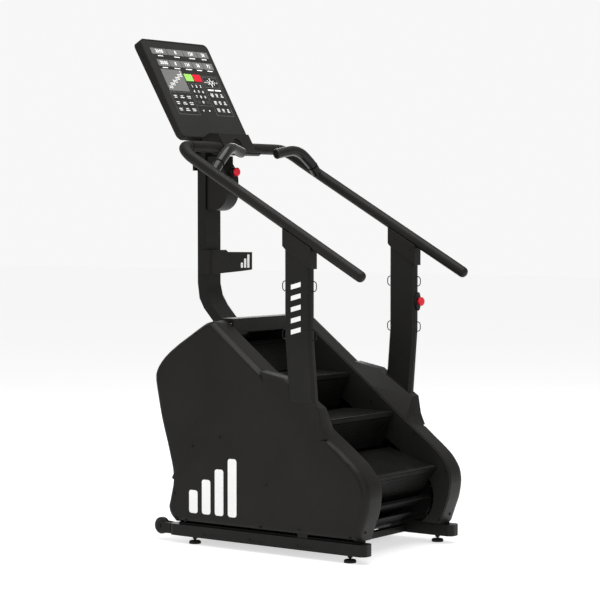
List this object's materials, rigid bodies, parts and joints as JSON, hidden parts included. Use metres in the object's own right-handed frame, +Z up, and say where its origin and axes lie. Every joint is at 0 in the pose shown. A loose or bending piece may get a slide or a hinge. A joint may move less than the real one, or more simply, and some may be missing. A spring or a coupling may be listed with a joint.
{
  "type": "stair climber",
  "caption": "Commercial stair climber: a revolving staircase between tall side covers, with sloping handrails on posts, a console on a mast, emergency stops and transport wheels.",
  "frame": {"origin": "on the floor under the middle of the machine's bounding box", "axes": "+Z up, +Y towards the console end, +X to the right of the user"},
  "size_m": [0.77, 1.2598, 2.0439],
  "materials": {
    "black_paint": "satin black powder coat",
    "foot_rubber": "matt black rubber",
    "wheel_plastic": "matt black moulded plastic",
    "tread_paint": "matt dark grey paint on ribbed plate",
    "bare_steel": "oiled bare steel",
    "cast_metal": "grey cast metal",
    "cover_plastic": "near-black grained plastic",
    "grip_rubber": "soft satin black grip",
    "screen_face": "dark grey printed overlay",
    "red_plastic": "glossy red"
  },
  "bodies": {
    "frame": {"base_rail_right": "black_paint", "base_rail_left": "black_paint", "base_cross_front": "black_paint", "base_cross_rear": "black_paint", "wheel_fork_right": "black_paint", "wheel_fork_left": "black_paint", "side_plate_right": "black_paint", "side_plate_left": "black_paint", "frame_side_right": "black_paint", "frame_side_left": "black_paint", "handrail_post_right": "black_paint", "handrail_post_left": "black_paint", "mast": "black_paint", "console_bracket": "black_paint", "drive_belt": "foot_rubber", "step_chain_right": "bare_steel", "step_chain_left": "bare_steel", "alternator": "cast_metal", "side_cover_right": "cover_plastic", "side_cover_left": "cover_plastic", "rear_cover": "cover_plastic", "top_cover": "cover_plastic", "post_collar_right": "cover_plastic", "post_collar_left": "cover_plastic", "neck_cover": "cover_plastic", "badge_band": "cover_plastic", "console_housing": "cover_plastic", "console_cradle": "cover_plastic", "stop_housing_neck": "cover_plastic", "stop_housing_post": "cover_plastic", "handrail_right": "grip_rubber", "handrail_left": "grip_rubber", "inner_grip_right": "grip_rubber", "inner_grip_left": "grip_rubber", "crossbar": "grip_rubber", "console_panel": "screen_face"},
    "front_steps": {"tread_2": "tread_paint", "tread_3": "tread_paint", "tread_4": "tread_paint", "riser_2": "tread_paint", "riser_3": "tread_paint", "riser_4": "tread_paint"},
    "first_step": {"tread_1": "tread_paint", "riser_1": "tread_paint"},
    "lower_shaft": {"lower_shaft": "bare_steel", "return_step_8": "tread_paint"},
    "upper_shaft": {"upper_shaft": "bare_steel", "drive_pulley": "cast_metal"},
    "return_steps": {"return_step_5": "tread_paint", "return_step_6": "tread_paint", "return_step_7": "tread_paint"},
    "alternator_rotor": {"alternator_pulley": "cast_metal"},
    "wheel_right": {"transport_wheel_right": "wheel_plastic"},
    "wheel_left": {"transport_wheel_left": "wheel_plastic"},
    "foot_front_right": {"levelling_foot_front_right": "foot_rubber"},
    "foot_front_left": {"levelling_foot_front_left": "foot_rubber"},
    "foot_rear_right": {"levelling_foot_rear_right": "foot_rubber"},
    "foot_rear_left": {"levelling_foot_rear_left": "foot_rubber"},
    "stop_neck": {"stop_button_neck": "red_plastic"},
    "stop_post": {"stop_button_post": "red_plastic"}
  },
  "joints": [
    {"name": "stair_travel", "type": "slide", "parent": "frame", "child": "front_steps", "axis": [0, -0.8231, -0.5678], "range_m": [0, 0.02]},
    {"name": "first_step_turn", "type": "hinge", "parent": "frame", "child": "first_step", "pos_m": [0, -0.2245, 0.1904], "axis": [1, 0, 0], "range_deg": [0, 5.5]},
    {"name": "lower_shaft_turn", "type": "hinge", "parent": "frame", "child": "lower_shaft", "pos_m": [0, -0.426, 0.19], "axis": [1, 0, 0], "range_deg": [0, 12]},
    {"name": "upper_shaft_turn", "type": "hinge", "parent": "frame", "child": "upper_shaft", "pos_m": [0, 0.17805, 0.6067], "axis": [1, 0, 0], "range_deg": [0, 12]},
    {"name": "return_travel", "type": "slide", "parent": "frame", "child": "return_steps", "axis": [0, 0.8231, 0.5678], "range_m": [0, 0.0205]},
    {"name": "alternator_spin", "type": "hinge", "parent": "frame", "child": "alternator_rotor", "pos_m": [0, 0.24, 0.236], "axis": [1, 0, 0], "range_deg": [0, 46]},
    {"name": "wheel_right_spin", "type": "hinge", "parent": "frame", "child": "wheel_right", "pos_m": [0.309, 0.402, 0.058], "axis": [1, 0, 0], "continuous": true},
    {"name": "wheel_left_spin", "type": "hinge", "parent": "frame", "child": "wheel_left", "pos_m": [-0.309, 0.402, 0.058], "axis": [1, 0, 0], "continuous": true},
    {"name": "foot_front_right_turn", "type": "hinge", "parent": "frame", "child": "foot_front_right", "pos_m": [0.309, -0.527, 0], "axis": [0, 0, 1], "range_deg": [-180, 180]},
    {"name": "foot_front_left_turn", "type": "hinge", "parent": "frame", "child": "foot_front_left", "pos_m": [-0.309, -0.527, 0], "axis": [0, 0, 1], "range_deg": [-180, 180]},
    {"name": "foot_rear_right_turn", "type": "hinge", "parent": "frame", "child": "foot_rear_right", "pos_m": [0.309, 0.231, 0], "axis": [0, 0, 1], "range_deg": [-180, 180]},
    {"name": "foot_rear_left_turn", "type": "hinge", "parent": "frame", "child": "foot_rear_left", "pos_m": [-0.309, 0.231, 0], "axis": [0, 0, 1], "range_deg": [-180, 180]},
    {"name": "stop_neck_press", "type": "slide", "parent": "frame", "child": "stop_neck", "axis": [0, 1, 0], "range_m": [0, 0.004], "stiffness_N_per_m": 1500, "springref_m": -0.001},
    {"name": "stop_post_press", "type": "slide", "parent": "frame", "child": "stop_post", "axis": [0, 1, 0], "range_m": [0, 0.004], "stiffness_N_per_m": 1500, "springref_m": -0.001}
  ],
  "couplings": [
    {"joint": "first_step_turn", "follows": "stair_travel", "rad_per_m": 4.673},
    {"joint": "lower_shaft_turn", "follows": "stair_travel", "rad_per_m": 10},
    {"joint": "upper_shaft_turn", "follows": "stair_travel", "rad_per_m": 10},
    {"joint": "return_travel", "follows": "stair_travel", "ratio": 1},
    {"joint": "alternator_spin", "follows": "stair_travel", "rad_per_m": 39.58}
  ]
}
